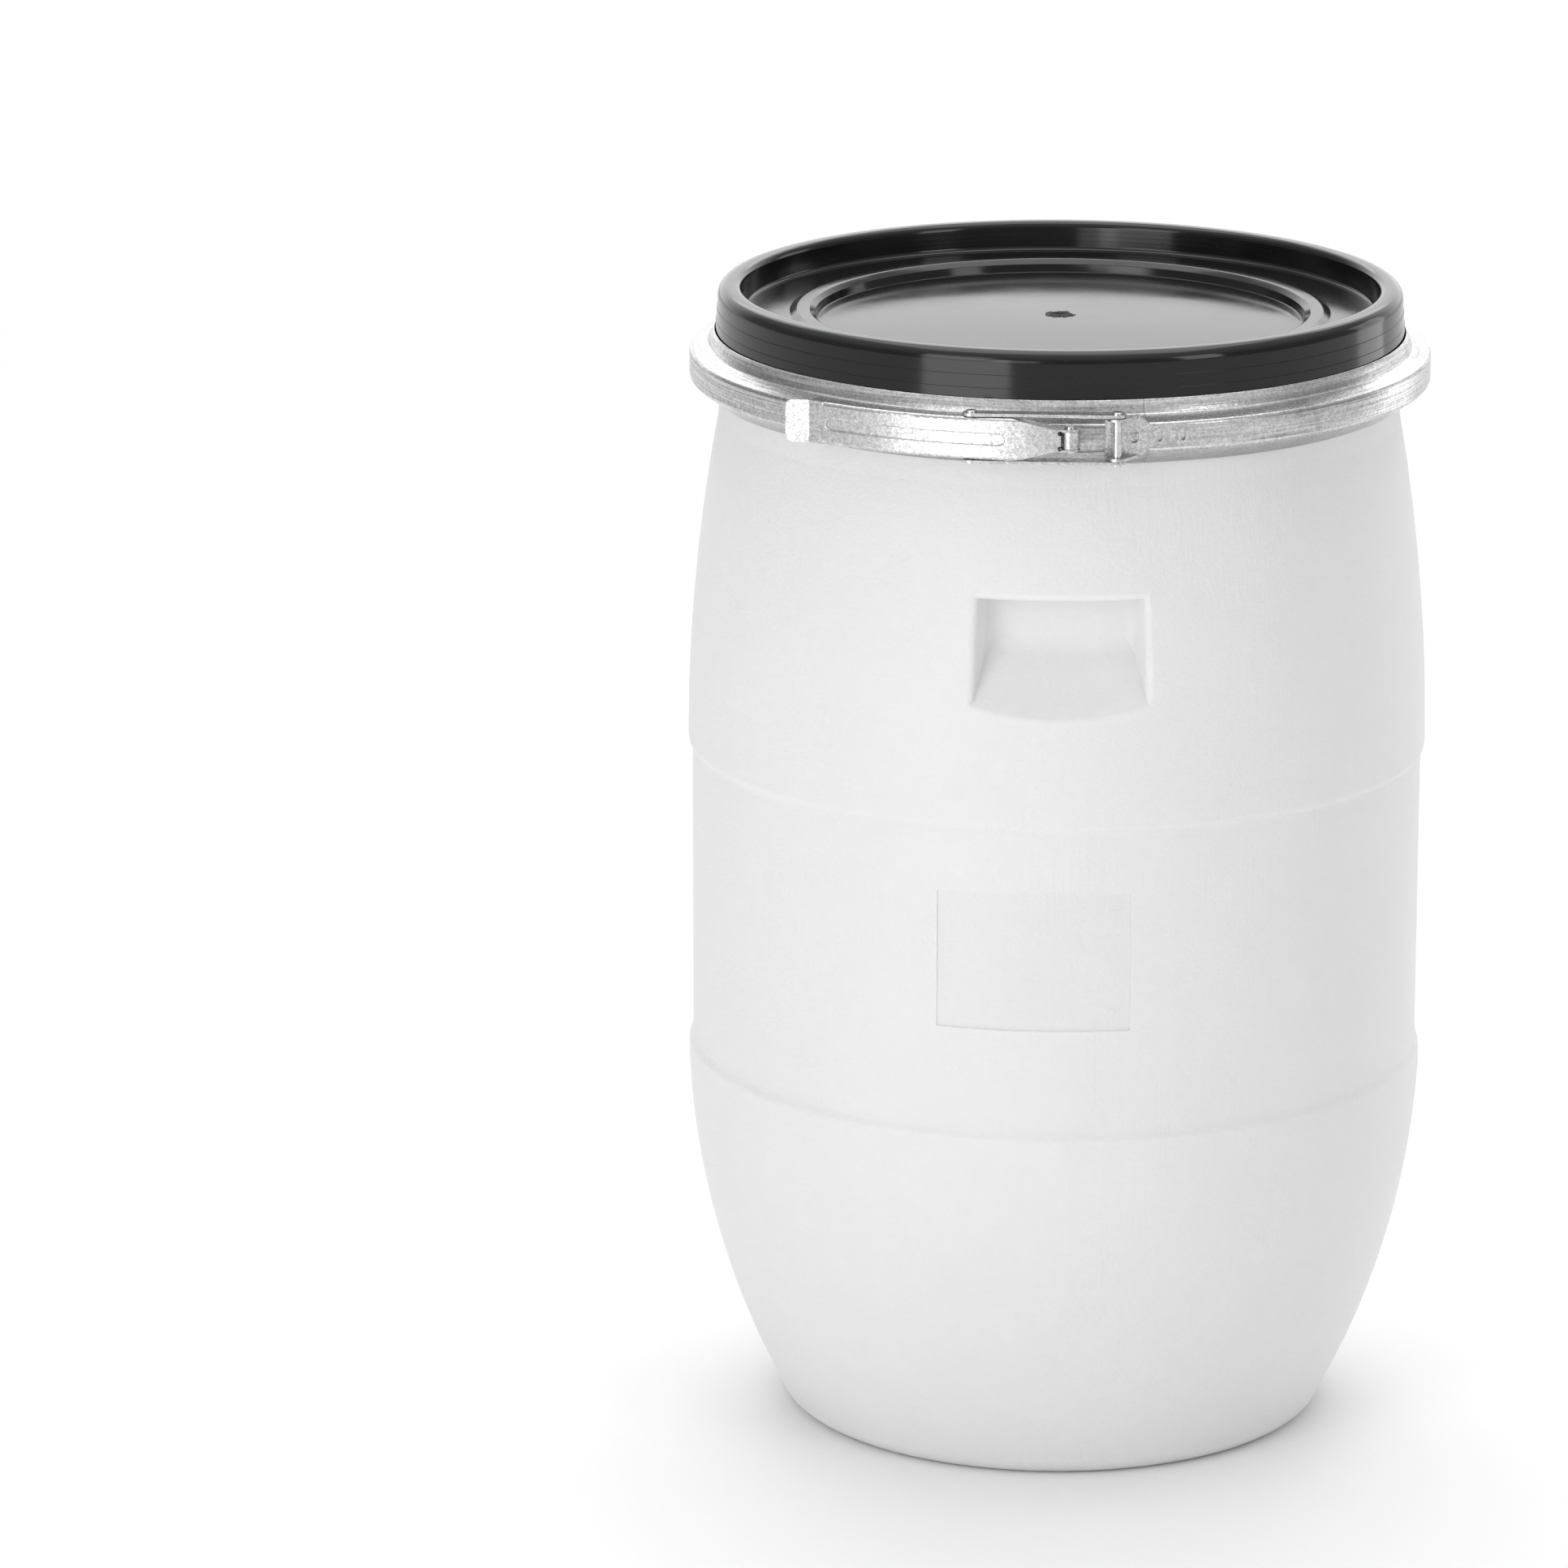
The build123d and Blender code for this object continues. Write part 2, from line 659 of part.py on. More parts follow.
with BuildPart() as link_pin_heads:
    for side in (-1, 1):
        ends = sorted((side * BAR_LOW, side * BAR_TOP))
        add(upright(LINK_PIN, LINK_PIN_R, *ends))
        add(rivet_head(LINK_PIN, HEAD_R - 0.15, side * BAR_TOP, side * (BAR_TOP + HEAD_T)))
link_pin_heads.part.label = "link_pin_heads"
export_step(link_pin_heads.part, "parts/link_pin_heads.step")

# --- Bracket on the ring's right end --------------------------------------------


def ear(low, high):
    """Ear folded out of the bracket and rounded about the link pin."""
    with BuildPart() as lug:
        with BuildSketch(Plane.XY.offset(LOCK_Z + low)):
            with Locations(LINK_PIN):
                Circle(EAR_NOSE_R)
            with BuildLine():
                root = [on_front(RING_R, x) for x in (PLATE_LEFT_X, EAR_RIGHT_X)]
                tip = [on_front(RING_R + 2, x) for x in (EAR_RIGHT_X, PLATE_LEFT_X)]
                Polyline(*root, *tip, close=True)
            make_face()
            make_hull()
            Circle(RING_R + 0.6, mode=Mode.SUBTRACT)
        extrude(amount=high - low)
    return lug.part


with BuildPart() as link_bracket:
    add(
        shell_block(
            RING_R,
            RING_R + PLATE_T,
            LOCK_Z - LEVER_HALF,
            LOCK_Z + LEVER_HALF,
            angle_at(RING_R, PLATE_LEFT_X),
            angle_at(RING_R, PLATE_RIGHT_X + 1),
        )
    )
    plate_outline = [
        (PLATE_LEFT_X, LOCK_Z - LEVER_HALF, 0),
        (EAR_RIGHT_X, LOCK_Z - LEVER_HALF, 1.5),
        (NECK_X, LOCK_Z - NECK_HALF, 3),
        (PLATE_RIGHT_X - 4, LOCK_Z - NECK_HALF, 1.5),
        (PLATE_RIGHT_X, LOCK_Z, 1.5),
        (PLATE_RIGHT_X - 4, LOCK_Z + NECK_HALF, 1.5),
        (NECK_X, LOCK_Z + NECK_HALF, 3),
        (EAR_RIGHT_X, LOCK_Z + LEVER_HALF, 1.5),
        (PLATE_LEFT_X, LOCK_Z + LEVER_HALF, 0),
    ]
    add(front_plate(plate_outline), mode=Mode.INTERSECT)
    add(ear(LEVER_HALF - PLATE_T, LEVER_HALF))
    add(ear(-LEVER_HALF, PLATE_T - LEVER_HALF))
    add(upright(LINK_PIN, LINK_PIN_R, -LEVER_HALF, LEVER_HALF), mode=Mode.SUBTRACT)
    relief_end = RIGHT_END + 0.2
    add(
        shell_block(RING_R - 1, RING_R + 0.35, LOCK_Z - 12, LOCK_Z + 12, 6, relief_end),
        mode=Mode.SUBTRACT,
    )
    with BuildSketch(Plane.XZ.offset(RING_R - 20)):
        with Locations((SLOT_X, LOCK_Z)):
            SlotOverall(7.0, 4.6, rotation=90)
    extrude(amount=40, mode=Mode.SUBTRACT)
    for clinch_x in CLINCH_X:
        with BuildSketch(facing_plane(angle_at(RING_R, clinch_x), RING_R + PLATE_T - 0.3, LOCK_Z)):
            SlotOverall(8.0, 5.4, rotation=90)
        extrude(amount=0.75)
        with BuildSketch(facing_plane(angle_at(RING_R, clinch_x), RING_R + 0.3, LOCK_Z)):
            SlotOverall(6.6, 4.0, rotation=90)
        extrude(amount=3, mode=Mode.SUBTRACT)
link_bracket.part.label = "link_bracket"
export_step(link_bracket.part, "parts/link_bracket.step")
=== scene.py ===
import json
import math
import random

import bmesh
import bpy
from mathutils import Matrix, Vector


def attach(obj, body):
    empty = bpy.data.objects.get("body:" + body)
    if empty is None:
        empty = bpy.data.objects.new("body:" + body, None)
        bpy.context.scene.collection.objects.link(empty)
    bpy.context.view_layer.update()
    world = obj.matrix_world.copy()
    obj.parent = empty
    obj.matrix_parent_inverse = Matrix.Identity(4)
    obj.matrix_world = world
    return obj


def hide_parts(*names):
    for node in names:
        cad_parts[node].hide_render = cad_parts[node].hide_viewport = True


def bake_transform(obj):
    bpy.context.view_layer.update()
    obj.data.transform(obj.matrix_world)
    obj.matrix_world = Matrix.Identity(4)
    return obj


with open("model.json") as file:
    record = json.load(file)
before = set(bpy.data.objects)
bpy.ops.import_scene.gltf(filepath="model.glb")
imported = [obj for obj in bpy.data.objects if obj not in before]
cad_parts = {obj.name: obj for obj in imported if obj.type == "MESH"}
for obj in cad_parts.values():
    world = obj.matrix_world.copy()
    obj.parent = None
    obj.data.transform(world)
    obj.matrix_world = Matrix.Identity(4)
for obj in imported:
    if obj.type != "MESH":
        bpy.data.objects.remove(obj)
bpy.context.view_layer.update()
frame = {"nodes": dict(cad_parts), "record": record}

# A 60 litre open head drum, in metres, +Z up, lever lock at the front towards -Y.
# Angles round the drum are in degrees from the front, positive towards +X.

MM = 0.001
NODES = frame["nodes"]
LINK = bpy.context.scene.collection.objects.link


# --- Shader helpers ---------------------------------------------------------------


def put(tree, kind, inputs=None, **settings):
    """Adds a node. An input that is a socket is linked, and any other value is set."""
    made = tree.nodes.new(kind)
    for key, value in settings.items():
        setattr(made, key, value)
    for key, value in (inputs or {}).items():
        if isinstance(value, bpy.types.NodeSocket):
            tree.links.new(value, made.inputs[key])
        else:
            made.inputs[key].default_value = value
    return made


def maths(tree, operation, a, b=0.0):
    return put(tree, "ShaderNodeMath", {0: a, 1: b}, operation=operation).outputs[0]


def stretched(tree, across, along, z):
    """Object coordinates, scaled by across in plan and by along upwards, plus z times the radius."""
    place = put(tree, "ShaderNodeTexCoord").outputs["Object"]
    split = put(tree, "ShaderNodeSeparateXYZ", {0: place})
    x, y, up = (split.outputs[i] for i in range(3))
    squares = [maths(tree, "MULTIPLY", axis, axis) for axis in (x, y)]
    radius = maths(tree, "SQRT", maths(tree, "ADD", *squares))
    height = maths(tree, "ADD", maths(tree, "MULTIPLY", up, along), maths(tree, "MULTIPLY", radius, z))
    joined = put(
        tree,
        "ShaderNodeCombineXYZ",
        {0: maths(tree, "MULTIPLY", x, across), 1: maths(tree, "MULTIPLY", y, across), 2: height},
    )
    return joined.outputs[0]


def noise(tree, vector, scale=1.0, detail=3.0, roughness=0.55, distortion=0.0):
    """Cloudy noise from 0 to 1."""
    inputs = {
        "Vector": vector,
        "Scale": scale,
        "Detail": detail,
        "Roughness": roughness,
        "Distortion": distortion,
    }
    return put(tree, "ShaderNodeTexNoise", inputs).outputs["Fac"]


def cells(tree, vector, scale, randomness=1.0):
    """A random grey for each cell of a crystal pattern."""
    inputs = {"Vector": vector, "Scale": scale, "Randomness": randomness}
    colour = put(tree, "ShaderNodeTexVoronoi", inputs).outputs["Color"]
    return put(tree, "ShaderNodeSeparateColor", {0: colour}).outputs[0]


def spread(tree, value, low, high, to_low, to_high):
    """Maps low..high to to_low..to_high, and holds the ends."""
    inputs = {"Value": value, 1: low, 2: high, 3: to_low, 4: to_high}
    return put(tree, "ShaderNodeMapRange", inputs).outputs[0]


def blend_colour(tree, share, a, b):
    made = put(tree, "ShaderNodeMix", {0: share, 6: a, 7: b}, data_type="RGBA")
    return made.outputs[2]


def bump(tree, height, distance, strength=1.0, under=None):
    """Bump of that depth in metres, on top of the normal under."""
    inputs = {"Height": height, "Distance": distance, "Strength": strength}
    if under is not None:
        inputs["Normal"] = under
    return put(tree, "ShaderNodeBump", inputs).outputs["Normal"]


def material(name):
    made = bpy.data.materials.new(name)
    made.use_nodes = True
    return made, made.node_tree, made.node_tree.nodes["Principled BSDF"]


def feed(tree, shader, **sockets):
    """Links or sets the shader's inputs, named with underscores for spaces."""
    for key, value in sockets.items():
        target = shader.inputs[key.replace("_", " ")]
        if isinstance(value, bpy.types.NodeSocket):
            tree.links.new(value, target)
        else:
            target.default_value = value


def grey(level, warm=0.0):
    return (level + warm, level, level - warm, 1.0)


# --- Materials ---------------------------------------------------------------------


def polyethylene():
    """Natural white polyethylene: milky, satin, with a fine grain and faint upright draw lines."""
    made, tree, shader = material("natural_polyethylene")
    place = stretched(tree, 1, 1, 0)
    cloud = noise(tree, place, 9, 4)
    patch = noise(tree, place, 38, 5, 0.6)
    tone = maths(tree, "ADD", maths(tree, "MULTIPLY", cloud, 0.65), maths(tree, "MULTIPLY", patch, 0.35))
    colour = blend_colour(tree, spread(tree, tone, 0.3, 0.7, 0, 1), grey(0.82, 0.002), grey(0.85, 0.001))
    grain = noise(tree, place, 480, 4, 0.65)
    lines = noise(tree, stretched(tree, 420, 3.2, 0), 1, 2, 0.5)
    line_share = spread(tree, noise(tree, place, 6, 2), 0.46, 0.62, 0.05, 1)
    wave = noise(tree, place, 14, 2, 0.4)
    normal = bump(tree, wave, 0.0005, 0.5)
    normal = bump(tree, maths(tree, "MULTIPLY", lines, line_share), 0.0005, 0.9, normal)
    normal = bump(tree, grain, 0.0006, 0.9, normal)
    feed(
        tree,
        shader,
        Base_Color=colour,
        Roughness=spread(tree, maths(tree, "ADD", grain, patch), 0.7, 1.3, 0.36, 0.50),
        Normal=normal,
        IOR=1.51,
        Subsurface_Weight=0.35,
        Subsurface_Radius=(1.0, 0.97, 0.93),
        Subsurface_Scale=0.006,
    )
    return made


def black_polyethylene(name, sheen_low, sheen_high):
    """Black moulding with faint turning marks, fine scuffs and a little dust, between two roughnesses."""
    made, tree, shader = material(name)
    place = stretched(tree, 1, 1, 0)
    rings = noise(tree, stretched(tree, 3, 700, 900), 1, 3, 0.5)
    haze = noise(tree, place, 16, 5, 0.6)
    specks = noise(tree, place, 900, 2, 0.5)
    scuff = noise(tree, place, 55, 6, 0.75, 2.5)
    dust = spread(tree, specks, 0.70, 0.80, 0, 1)
    worn = spread(tree, scuff, 0.60, 0.80, 0, 1)
    colour = blend_colour(tree, maths(tree, "MULTIPLY", dust, 0.35), grey(0.006), grey(0.10))
    colour = blend_colour(tree, maths(tree, "MULTIPLY", worn, 0.4), colour, grey(0.02))
    rough = spread(tree, haze, 0.3, 0.7, sheen_low, sheen_high)
    rough = maths(tree, "ADD", rough, maths(tree, "MULTIPLY", worn, 0.10))
    rough = maths(tree, "ADD", rough, maths(tree, "MULTIPLY", rings, 0.04))
    normal = bump(tree, noise(tree, place, 24, 2, 0.4), 0.0003, 0.4)
    normal = bump(tree, rings, 0.00002, 0.6, normal)
    normal = bump(tree, specks, 0.00001, 0.5, normal)
    feed(tree, shader, Base_Color=colour, Roughness=rough, Normal=normal, IOR=1.5, Specular_IOR_Level=0.5)
    return made


def foam_rubber():
    """Dark foamed rubber with open pores."""
    made, tree, shader = material("foam_rubber")
    place = stretched(tree, 1, 1, 0)
    pores = noise(tree, place, 1500, 3, 0.6)
    tone = noise(tree, place, 60, 4)
    colour = blend_colour(tree, spread(tree, tone, 0.35, 0.65, 0, 1), grey(0.035), grey(0.065))
    feed(
        tree,
        shader,
        Base_Color=colour,
        Roughness=spread(tree, pores, 0.3, 0.7, 0.75, 0.95),
        Normal=bump(tree, pores, 0.0002, 0.8),
    )
    return made


def zinc(name, streak, spangle, low, high, dark, bright):
    """Galvanised sheet: streaks of rolling along the band, fine zinc grain, scratches and dull patches."""
    made, tree, shader = material(name)
    place = stretched(tree, 1, 1, 0)
    streaks = noise(tree, stretched(tree, 14, 1300, 1300), 1, 6, 0.7)
    crystals = cells(tree, place, 1100)
    cloud = noise(tree, place, 420, 6, 0.75)
    fine = noise(tree, place, 2200, 3, 0.6)
    tone = maths(tree, "MULTIPLY", streaks, streak)
    tone = maths(tree, "ADD", tone, maths(tree, "MULTIPLY", crystals, spangle))
    tone = maths(tree, "ADD", tone, maths(tree, "MULTIPLY", cloud, 1 - streak - spangle))
    share = spread(tree, tone, 0.36, 0.60, 0, 1)
    colour = blend_colour(tree, share, grey(dark), grey(bright))
    stain = spread(tree, noise(tree, place, 26, 6, 0.7, 1.0), 0.54, 0.72, 0, 0.5)
    colour = blend_colour(tree, stain, colour, grey(dark * 0.8))
    scratch = noise(tree, stretched(tree, 60, 900, 700), 1, 3, 0.8, 1.5)
    colour = blend_colour(tree, spread(tree, scratch, 0.66, 0.74, 0, 0.5), colour, grey(dark * 0.5))
    rough = spread(tree, maths(tree, "ADD", share, fine), 0.3, 1.5, high, low)
    normal = bump(tree, noise(tree, place, 60, 3, 0.5), 0.0004, 0.5)
    normal = bump(tree, noise(tree, place, 480, 4, 0.65), 0.00016, 0.8, normal)
    normal = bump(tree, streaks, 0.00008, 0.8 * streak + 0.1, normal)
    normal = bump(tree, scratch, 0.00004, 0.6, normal)
    normal = bump(tree, fine, 0.00003, 0.5, normal)
    feed(tree, shader, Base_Color=colour, Metallic=1.0, Roughness=rough, Normal=normal)
    return made


POLYETHYLENE = polyethylene()
BLACK = black_polyethylene("black_polyethylene", 0.08, 0.14)
TORN_BLACK = black_polyethylene("torn_black_polyethylene", 0.55, 0.75)
RUBBER = foam_rubber()
BAND_ZINC = zinc("rolled_zinc", 0.62, 0.08, 0.20, 0.40, 0.26, 0.76)
PRESSED_ZINC = zinc("pressed_zinc", 0.0, 0.2, 0.22, 0.40, 0.44, 0.74)
RIVET_ZINC = zinc("rivet_zinc", 0.0, 0.1, 0.14, 0.26, 0.58, 0.80)

FINISHES = {
    "drum_plastic": POLYETHYLENE,
    "lid_plastic": BLACK,
    "gasket_rubber": RUBBER,
    "band_steel": BAND_ZINC,
    "pressed_steel": PRESSED_ZINC,
    "rivet_steel": RIVET_ZINC,
}


def dress(piece, finish):
    """Gives the whole piece one material."""
    piece.data.materials.clear()
    piece.data.materials.append(FINISHES[finish])
    return piece


for entry in frame["record"]["subparts"]:
    node = NODES[entry["node"]]
    for material_slot in node.material_slots:
        material_slot.material = FINISHES[entry["material_slot"]]


# --- Stage -------------------------------------------------------------------------


def lamp(name, place, aim, width, height, power):
    """Soft rectangular light at place, turned to aim, that no camera sees."""
    data = bpy.data.lights.new(name, "AREA")
    data.shape = "RECTANGLE"
    data.size = width
    data.size_y = height
    data.energy = power
    made = bpy.data.objects.new(name, data)
    made.location = place
    made.rotation_euler = (Vector(aim) - Vector(place)).to_track_quat("-Z", "Y").to_euler()
    made.visible_camera = False
    LINK(made)


def studio():
    """Pale floor, a world that is bright behind and above, and soft lights round the drum."""
    mesh = bpy.data.meshes.new("floor")
    reach = 14.0
    corners = [(-reach, -reach, 0), (reach, -reach, 0), (reach, reach, 0), (-reach, reach, 0)]
    mesh.from_pydata(corners, [], [(0, 1, 2, 3)])
    floor = bpy.data.objects.new("floor", mesh)
    LINK(floor)
    made, tree, shader = material("floor_paper")
    tone = noise(tree, put(tree, "ShaderNodeTexCoord").outputs["Object"], 2.0, 3)
    colour = blend_colour(tree, tone, grey(0.91), grey(0.94))
    feed(tree, shader, Base_Color=colour, Roughness=0.9)
    mesh.materials.append(made)

    world = bpy.data.worlds.new("studio")
    bpy.context.scene.world = world
    world.use_nodes = True
    tree = world.node_tree
    direction = put(tree, "ShaderNodeTexCoord").outputs["Generated"]
    split = put(tree, "ShaderNodeSeparateXYZ", {0: direction})
    back = spread(tree, split.outputs[1], 0.6, 0.92, 0, 1)
    up = spread(tree, split.outputs[2], 0.35, 0.95, 0, 1)
    level = maths(tree, "MAXIMUM", back, maths(tree, "MULTIPLY", up, 0.55))
    sky = spread(tree, level, 0, 1, 0.30, 1.5)
    tree.links.new(sky, tree.nodes["Background"].inputs["Color"])
    tree.nodes["Background"].inputs["Strength"].default_value = 1.0

    lamp("key_softbox", (-2.1, -3.0, 2.3), (0, 0, 0.35), 1.5, 1.7, 11)
    lamp("front_softbox", (-0.75, -3.0, 1.15), (0, 0, 0.5), 0.8, 0.9, 3)
    lamp("fill_softbox", (2.6, -2.4, 1.7), (0, 0, 0.35), 0.9, 1.8, 11)
    lamp("left_strip", (-0.73, -1.31, 0.6), (0, 0, 0.55), 0.75, 1.15, 5)
    lamp("right_strip", (1.29, 0.77, 0.6), (0, 0, 0.55), 0.5, 1.15, 2)
    lamp("top_softbox", (0, 0.7, 3.2), (0, 0, 0.3), 2.6, 2.2, 27)
    lamp("back_wash", (0, 5.4, 3.6), (0, 4.6, 0), 5.0, 4.5, 75)


def camera():
    """Long lens that looks down over the lid, turned so that the drum stands right of the middle."""
    data = bpy.data.cameras.new("camera")
    data.sensor_width = 36.0
    data.lens = 183.0
    made = bpy.data.objects.new("camera", data)
    made.location = (0.0, -4.2, 1.469)
    made.rotation_euler = (math.radians(90 - 14.97), 0, math.radians(2.02))
    LINK(made)
    bpy.context.scene.camera = made


bpy.context.scene.view_settings.view_transform = "Standard"
studio()
camera()


# --- Pieces ------------------------------------------------------------------------


def new_piece(name, mesh, finish):
    """Puts a mesh in the scene with the finish of one of the record's slots."""
    made = bpy.data.objects.new(name, mesh)
    LINK(made)
    dress(made, finish)
    return made


def bent_line(points, radii, steps=7):
    """The points of an outline of radius and height in mm, with its inner corners rounded."""
    line = [Vector(points[0])]
    for before, corner, after, radius in zip(points, points[1:], points[2:], radii):
        corner = Vector(corner)
        if not radius:
            line.append(corner)
            continue
        to_before = (Vector(before) - corner).normalized()
        to_after = (Vector(after) - corner).normalized()
        half = to_before.angle(to_after) / 2
        centre = corner + (to_before + to_after).normalized() * radius / math.sin(half)
        start = corner + to_before * radius / math.tan(half) - centre
        end = corner + to_after * radius / math.tan(half) - centre
        turn = start.angle(end)
        for step in range(steps + 1):
            share = step / steps
            arc = start * math.sin((1 - share) * turn) + end * math.sin(share * turn)
            line.append(centre + arc / math.sin(turn))
    line.append(Vector(points[-1]))
    return line


def finished_mesh(name, verts, faces, sharp=35):
    """Closed mesh with outward normals, smooth except at edges sharper than that angle."""
    mesh = bpy.data.meshes.new(name)
    mesh.from_pydata(verts, [], faces)
    tidy = bmesh.new()
    tidy.from_mesh(mesh)
    bmesh.ops.recalc_face_normals(tidy, faces=tidy.faces)
    tidy.to_mesh(mesh)
    tidy.free()
    mesh.polygons.foreach_set("use_smooth", [True] * len(mesh.polygons))
    mesh.set_sharp_from_angle(angle=math.radians(sharp))
    return mesh


def lathe(name, outline, segments):
    """Solid turned from an outline in mm that starts and ends on the axis."""
    rings = outline[1:-1]
    verts = [(0, 0, outline[0].y * MM), (0, 0, outline[-1].y * MM)]
    faces = []
    for point in rings:
        for step in range(segments):
            turn = 2 * math.pi * step / segments
            verts.append((point.x * MM * math.sin(turn), -point.x * MM * math.cos(turn), point.y * MM))
    last = 2 + (len(rings) - 1) * segments
    for step in range(segments):
        after = (step + 1) % segments
        faces.append((0, 2 + step, 2 + after))
        faces.append((1, last + after, last + step))
        for ring in range(len(rings) - 1):
            low, high = 2 + ring * segments, 2 + (ring + 1) * segments
            faces.append((low + step, high + step, high + after, low + after))
    return finished_mesh(name, verts, faces)


# The lid's section, from the middle of its top round the rim to the middle of its underside.
# Each row is a radius and a height in mm, with the radius of the bend at that point.
LID_SECTION = [
    (0.0, 607.6, 0),
    (128.5, 604.6, 0),
    (130.3, 604.6, 0.6),
    (131.3, 608.9, 0.6),
    (134.5, 611.4, 2),
    (141.0, 611.4, 2),
    (145.0, 609.3, 1.5),
    (170.0, 609.3, 2.5),
    (171.0, 625.0, 4),
    (183.7, 625.0, 6.3),
    (183.7, 612.5, 0.15),
    (184.2, 612.5, 0.15),
    (184.2, 605.6, 0.15),
    (184.7, 605.6, 0.15),
    (184.7, 592.7, 1.5),
    (195.0, 589.6, 1.2),
    (195.0, 581.5, 1),
    (181.9, 581.5, 1),
    (181.9, 622.0, 2),
    (173.6, 622.0, 2),
    (172.8, 606.6, 3),
    (143.5, 606.6, 2),
    (140.0, 608.7, 1.5),
    (135.5, 608.7, 1),
    (133.0, 601.9, 1),
    (128.5, 601.9, 0),
    (0.0, 604.9, 0),
]
DISC_EDGE = 128.5  # mm, radius of the domed disc in the middle
DISC_RISE = 3.0  # mm, from the disc's edge to its middle
LID_SEGMENTS = 288


def dome(line, edge, rise):
    """Adds points on the shallow dome, from the axis to the disc's edge, at both ends of an outline."""
    steps = 12
    sphere = (edge**2 + rise**2) / (2 * rise)
    drops = []
    for step in range(1, steps):
        reach = edge * step / steps
        drops.append(Vector((reach, -(sphere - math.sqrt(sphere**2 - reach**2)))))
    top = [line[0] + drop for drop in drops]
    foot = [line[-1] + drop for drop in drops]
    return [line[0], *top, *line[1:-1], *foot[::-1], line[-1]]


def lid_piece():
    """The moulded lid, turned fine enough for clean highlights."""
    line = bent_line([p[:2] for p in LID_SECTION], [p[2] for p in LID_SECTION[1:-1]])
    mesh = lathe("moulded_lid", dome(line, DISC_EDGE, DISC_RISE), LID_SEGMENTS)
    made = new_piece("moulded_lid", mesh, "lid_plastic")
    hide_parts("lid")
    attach(made, "lid")


lid_piece()


# The closing ring's band: the middle of the sheet as radius and height in mm, and its bend radii.
BAND_LINE = [(186.0, 567.4), (198.45, 576.3), (198.45, 589.7), (188.3, 592.9), (185.8, 600.0)]
BAND_BENDS = [2.0, 1.8, 2.0]
BAND_THICKNESS = 1.1
BAND_STEP = 0.75  # degrees between two sections
BAND_WAVE = 0.06  # mm, a quarter of the most that the sheet wanders inwards
BAND_LIFT = 0.08  # mm, the most that it wanders up or down
# Degrees from the front: the band's two ends, which all but meet, and the seam where the stretch
# behind the lever meets the rest.
RIGHT_END, LEFT_END, SEAM = 13.5, 13.44, -20.0


def sheet_section(line, thickness):
    """The two sides of a sheet along a line, which share a pointed lip at each end."""
    half = thickness / 2
    sides = ([], [])
    for index, point in enumerate(line):
        along = line[min(index + 1, len(line) - 1)] - line[max(index - 1, 0)]
        across = Vector((along.y, -along.x)).normalized() * half
        sides[0].append(point + across)
        sides[1].append(point - across)
    top = (line[-1] - line[-2]).normalized() * half
    foot = (line[0] - line[1]).normalized() * half
    sides[0].append(line[-1] + top)
    sides[1].append(line[-1] + top)
    sides[0].insert(0, line[0] + foot)
    sides[1].insert(0, line[0] + foot)
    return sides


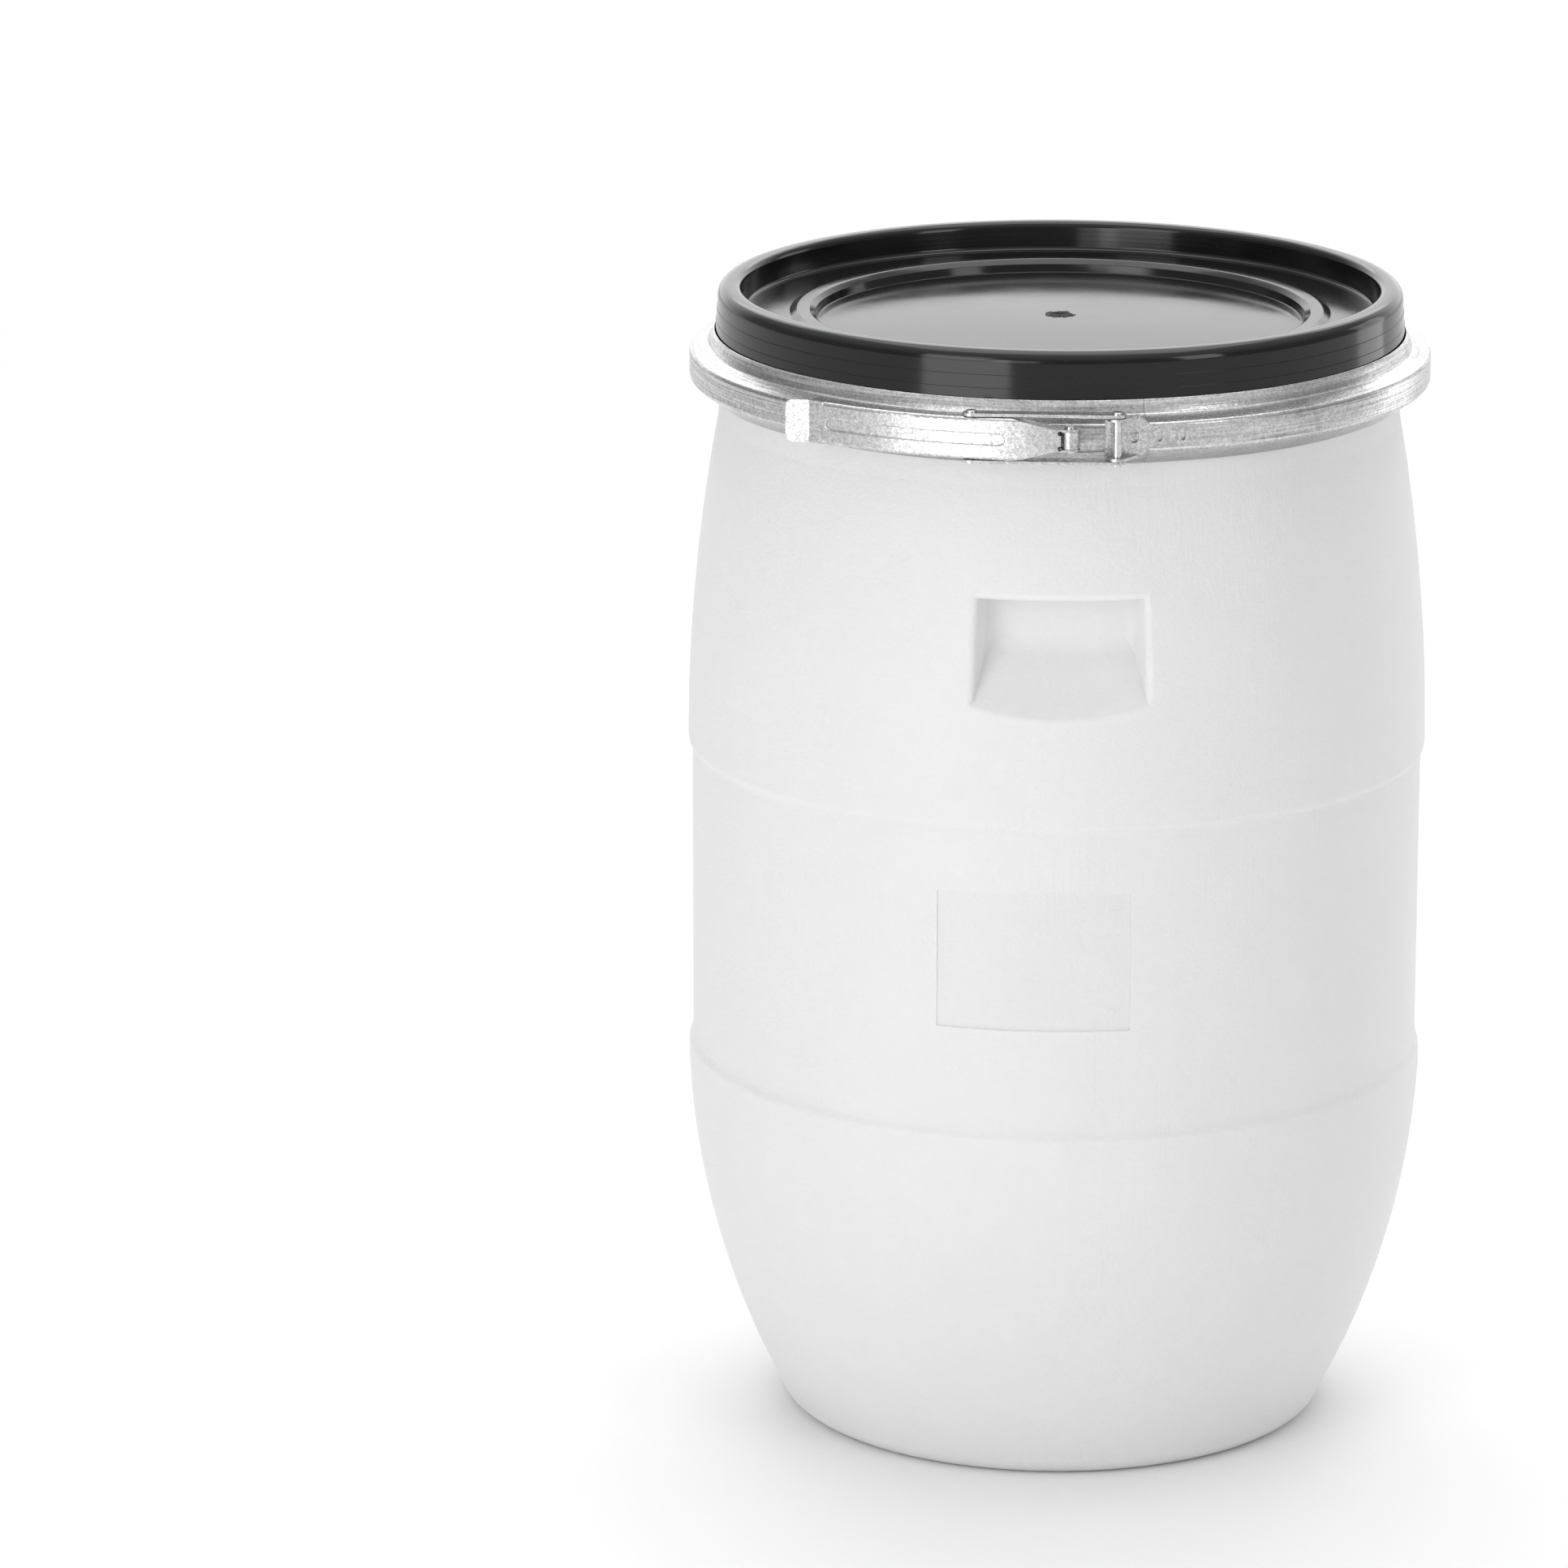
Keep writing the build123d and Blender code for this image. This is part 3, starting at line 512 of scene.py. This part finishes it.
def band_piece(name, start, end):
    """A stretch of the band, swept round the drum, a touch uneven as rolled sheet is."""
    outer, inner = sheet_section(bent_line(BAND_LINE, BAND_BENDS), BAND_THICKNESS)
    section = outer + inner[-2:0:-1]
    count = round((end - start) / BAND_STEP)
    verts, faces = [], []
    for step in range(count + 1):
        turn = math.radians(start + (end - start) * step / count)
        wave = BAND_WAVE * (math.sin(5 * turn) + math.sin(11 * turn + 1) - 2)
        for point in section:
            radius = (point.x + wave) * MM
            lift = BAND_LIFT * math.sin(7 * turn + 0.5) * MM
            verts.append((radius * math.sin(turn), -radius * math.cos(turn), point.y * MM + lift))
    size = len(section)
    for step in range(count):
        for index in range(size):
            after = (index + 1) % size
            first, second = step * size, (step + 1) * size
            faces.append((first + index, second + index, second + after, first + after))
    for base, flip in ((0, False), (count * size, True)):
        for index in range(len(outer) - 1):
            left = [base + index, base + index + 1]
            right = [base + (size - index - 1) % size, base + (size - index) % size]
            face = list(dict.fromkeys(left + right))
            if len(face) > 2:
                faces.append(face[::-1] if flip else face)
    return new_piece(name, finished_mesh(name, verts, faces, 50), "band_steel")


ring_band = band_piece("ring_band", RIGHT_END, 360 + SEAM)
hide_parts("clamp_ring_left", "clamp_ring_right")
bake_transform(ring_band)

ring_band_front = band_piece("ring_band_front", SEAM, LEFT_END)
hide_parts("clamp_ring_left")
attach(ring_band_front, "ring")


# The scar's radius, the height of its roughness, the depth of its sunk edge and the height of its middle
GATE_RADIUS = 0.0083
GATE_RISE, GATE_SINK, GATE_TIP = 0.0009, 0.0008, 0.0003


def gate_mark(top, radius):
    """The rough little scar where the lid's moulding gate broke off, at its centre."""
    draw = random.Random(4)
    spokes, rows = 40, 9
    outline = [1 + 0.22 * draw.uniform(-1, 1) for _ in range(spokes)]
    verts = [(0, 0, top + GATE_TIP)]
    faces = []
    for row in range(1, rows + 1):
        share = row / rows
        for spoke in range(spokes):
            turn = 2 * math.pi * spoke / spokes
            reach = radius * share * (1 + (outline[spoke] - 1) * share)
            height = GATE_RISE * (1 - share**4) * draw.uniform(0.05, 1.0) - (GATE_SINK if row == rows else 0)
            verts.append((reach * math.cos(turn), reach * math.sin(turn), top + height))
    for spoke in range(spokes):
        after = (spoke + 1) % spokes
        faces.append((0, 1 + spoke, 1 + after))
        for row in range(rows - 1):
            first, second = 1 + row * spokes, 1 + (row + 1) * spokes
            faces.append((first + spoke, second + spoke, second + after, first + after))
    foot = [1 + (rows - 1) * spokes + spoke for spoke in range(spokes)]
    faces.append(foot[::-1])
    made = new_piece("gate_scar", finished_mesh("gate_scar", verts, faces), "lid_plastic")
    made.data.materials[0] = TORN_BLACK
    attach(made, "lid")


gate_mark(LID_SECTION[0][1] * MM, GATE_RADIUS)
